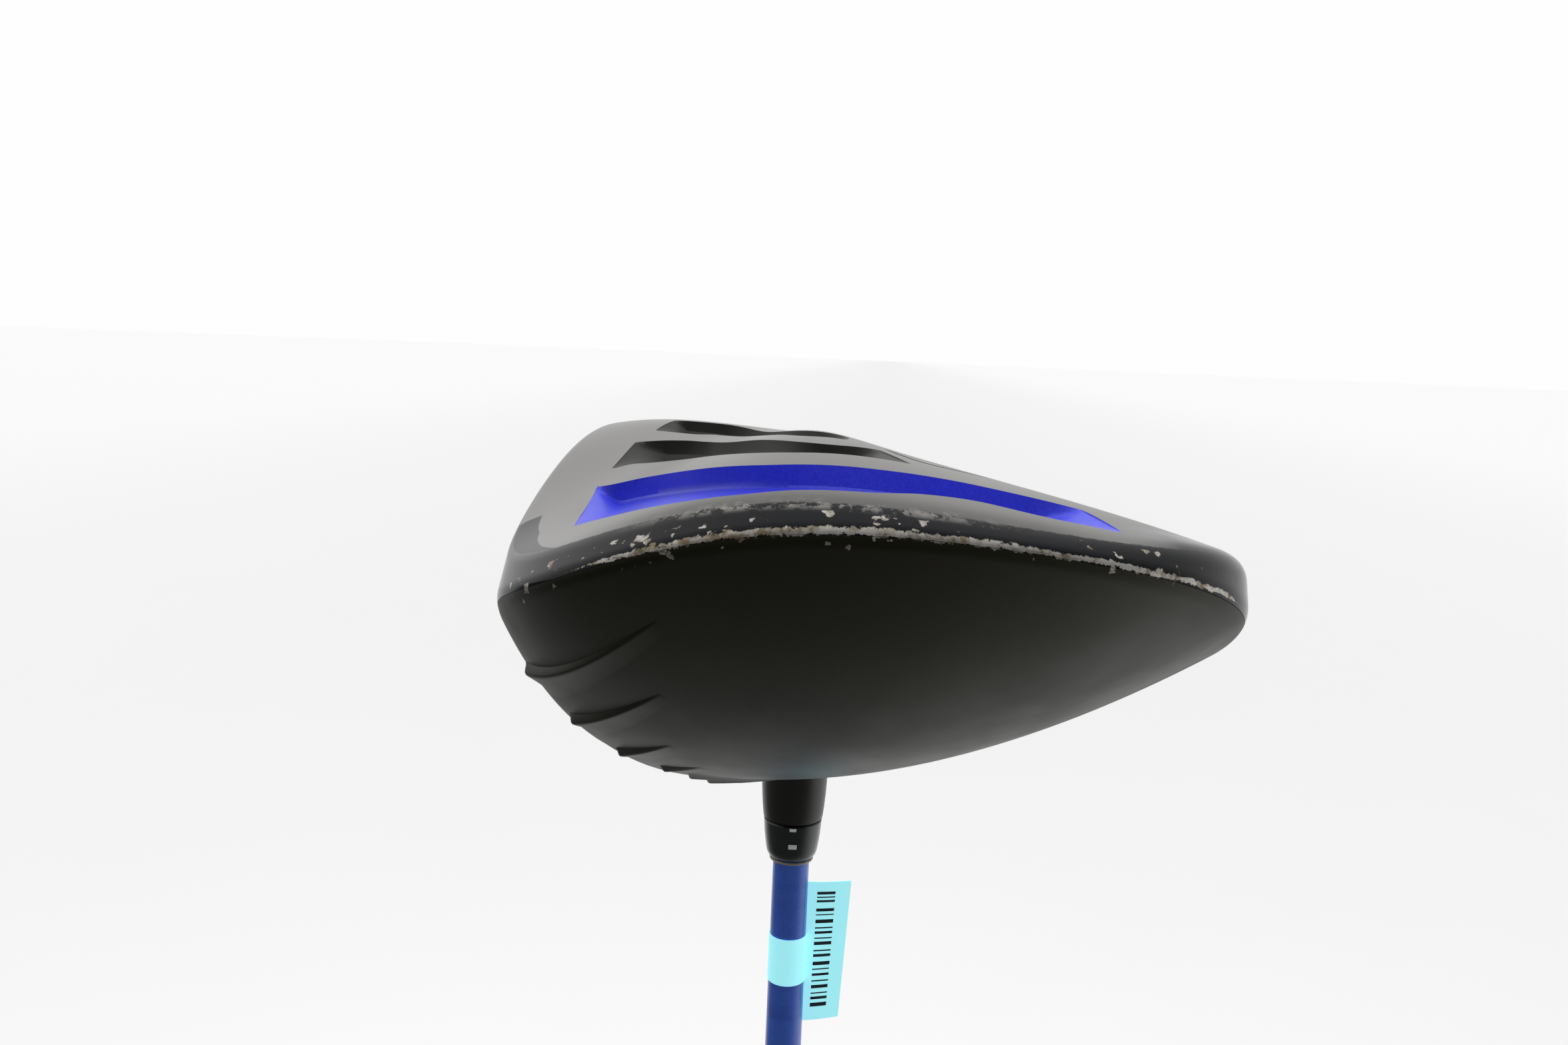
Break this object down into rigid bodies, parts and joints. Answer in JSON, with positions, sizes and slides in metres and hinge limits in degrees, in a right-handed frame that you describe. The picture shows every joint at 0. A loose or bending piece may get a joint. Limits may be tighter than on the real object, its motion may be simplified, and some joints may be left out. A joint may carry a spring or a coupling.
{
  "type": "golf driver",
  "caption": "Right-handed golf driver with a hollow titanium head, a screw-held adjustable shaft sleeve, a graphite shaft, a rubber grip and a removable back weight.",
  "frame": {"origin": "middle of the grip's flat butt end", "axes": "+Z along the shaft from the grip to the head; +X rearward from the face; +Y towards the heel, away from the toe"},
  "size_m": [0.1183, 0.126, 1.1925],
  "materials": {
    "titanium_satin": "satin grey with blue and black painted channels",
    "crown_matte_black": "matte warm black paint",
    "face_grey": "dark brushed, with score lines",
    "neck_black": "semi-gloss warm black paint",
    "glue_amber": "sticky hot-melt glue",
    "anodised_dark": "dark anodised",
    "screw_steel": "turned steel",
    "weight_grey": "bead-blasted grey",
    "ferrule_black": "glossy cool black",
    "bead_tan": "dried epoxy ring",
    "shaft_blue": "metallic blue lacquer over carbon fibre",
    "plug_cork": "cork",
    "label_blue": "pale blue coated paper",
    "tape_cream": "double-sided paper tape",
    "grip_rubber": "moulded rubber with a diamond pattern"
  },
  "bodies": {
    "shaft_assembly": {"shaft": "shaft_blue", "adapter_sleeve": "anodised_dark", "ferrule": "ferrule_black", "ferrule_bead": "bead_tan", "shaft_tip_plug": "plug_cork", "stock_label": "label_blue", "grip_tape": "tape_cream", "grip": "grip_rubber", "grip_cap": "grip_rubber"},
    "screw_washer": {"screw_washer": "screw_steel"},
    "head": {"sole_shell": "titanium_satin", "crown_shell": "crown_matte_black", "face_plate": "face_grey", "hosel_tube": "neck_black", "hot_melt_pad": "glue_amber", "screw_retainer": "anodised_dark", "weight_insert": "screw_steel"},
    "hosel_screw": {"hosel_screw": "screw_steel"},
    "back_weight": {"back_weight": "weight_grey"},
    "back_weight_screw": {"back_weight_screw": "screw_steel"}
  },
  "joints": [
    {"name": "head_release", "type": "slide", "parent": "shaft_assembly", "child": "screw_washer", "axis": [0, 0, 1], "range_m": [0, 0.045]},
    {"name": "loft_setting", "type": "hinge", "parent": "screw_washer", "child": "head", "pos_m": [0, 0, 1.1], "axis": [0, 0, 1], "range_deg": [-90, 90]},
    {"name": "hosel_screw_turn", "type": "hinge", "parent": "screw_washer", "child": "hosel_screw", "pos_m": [0, 0, 1.14], "axis": [0, 0, 1], "range_deg": [0, 1440]},
    {"name": "weight_travel", "type": "slide", "parent": "head", "child": "back_weight", "axis": [0.1782, 0.3662, 0.9133], "range_m": [0, 0.006]},
    {"name": "weight_screw_turn", "type": "hinge", "parent": "back_weight", "child": "back_weight_screw", "pos_m": [0.08166, -0.0432, 1.18062], "axis": [0.1782, 0.3662, 0.9133], "range_deg": [0, 2701]}
  ],
  "couplings": [
    {"joint": "weight_screw_turn", "follows": "weight_travel", "rad_per_m": 7854}
  ]
}
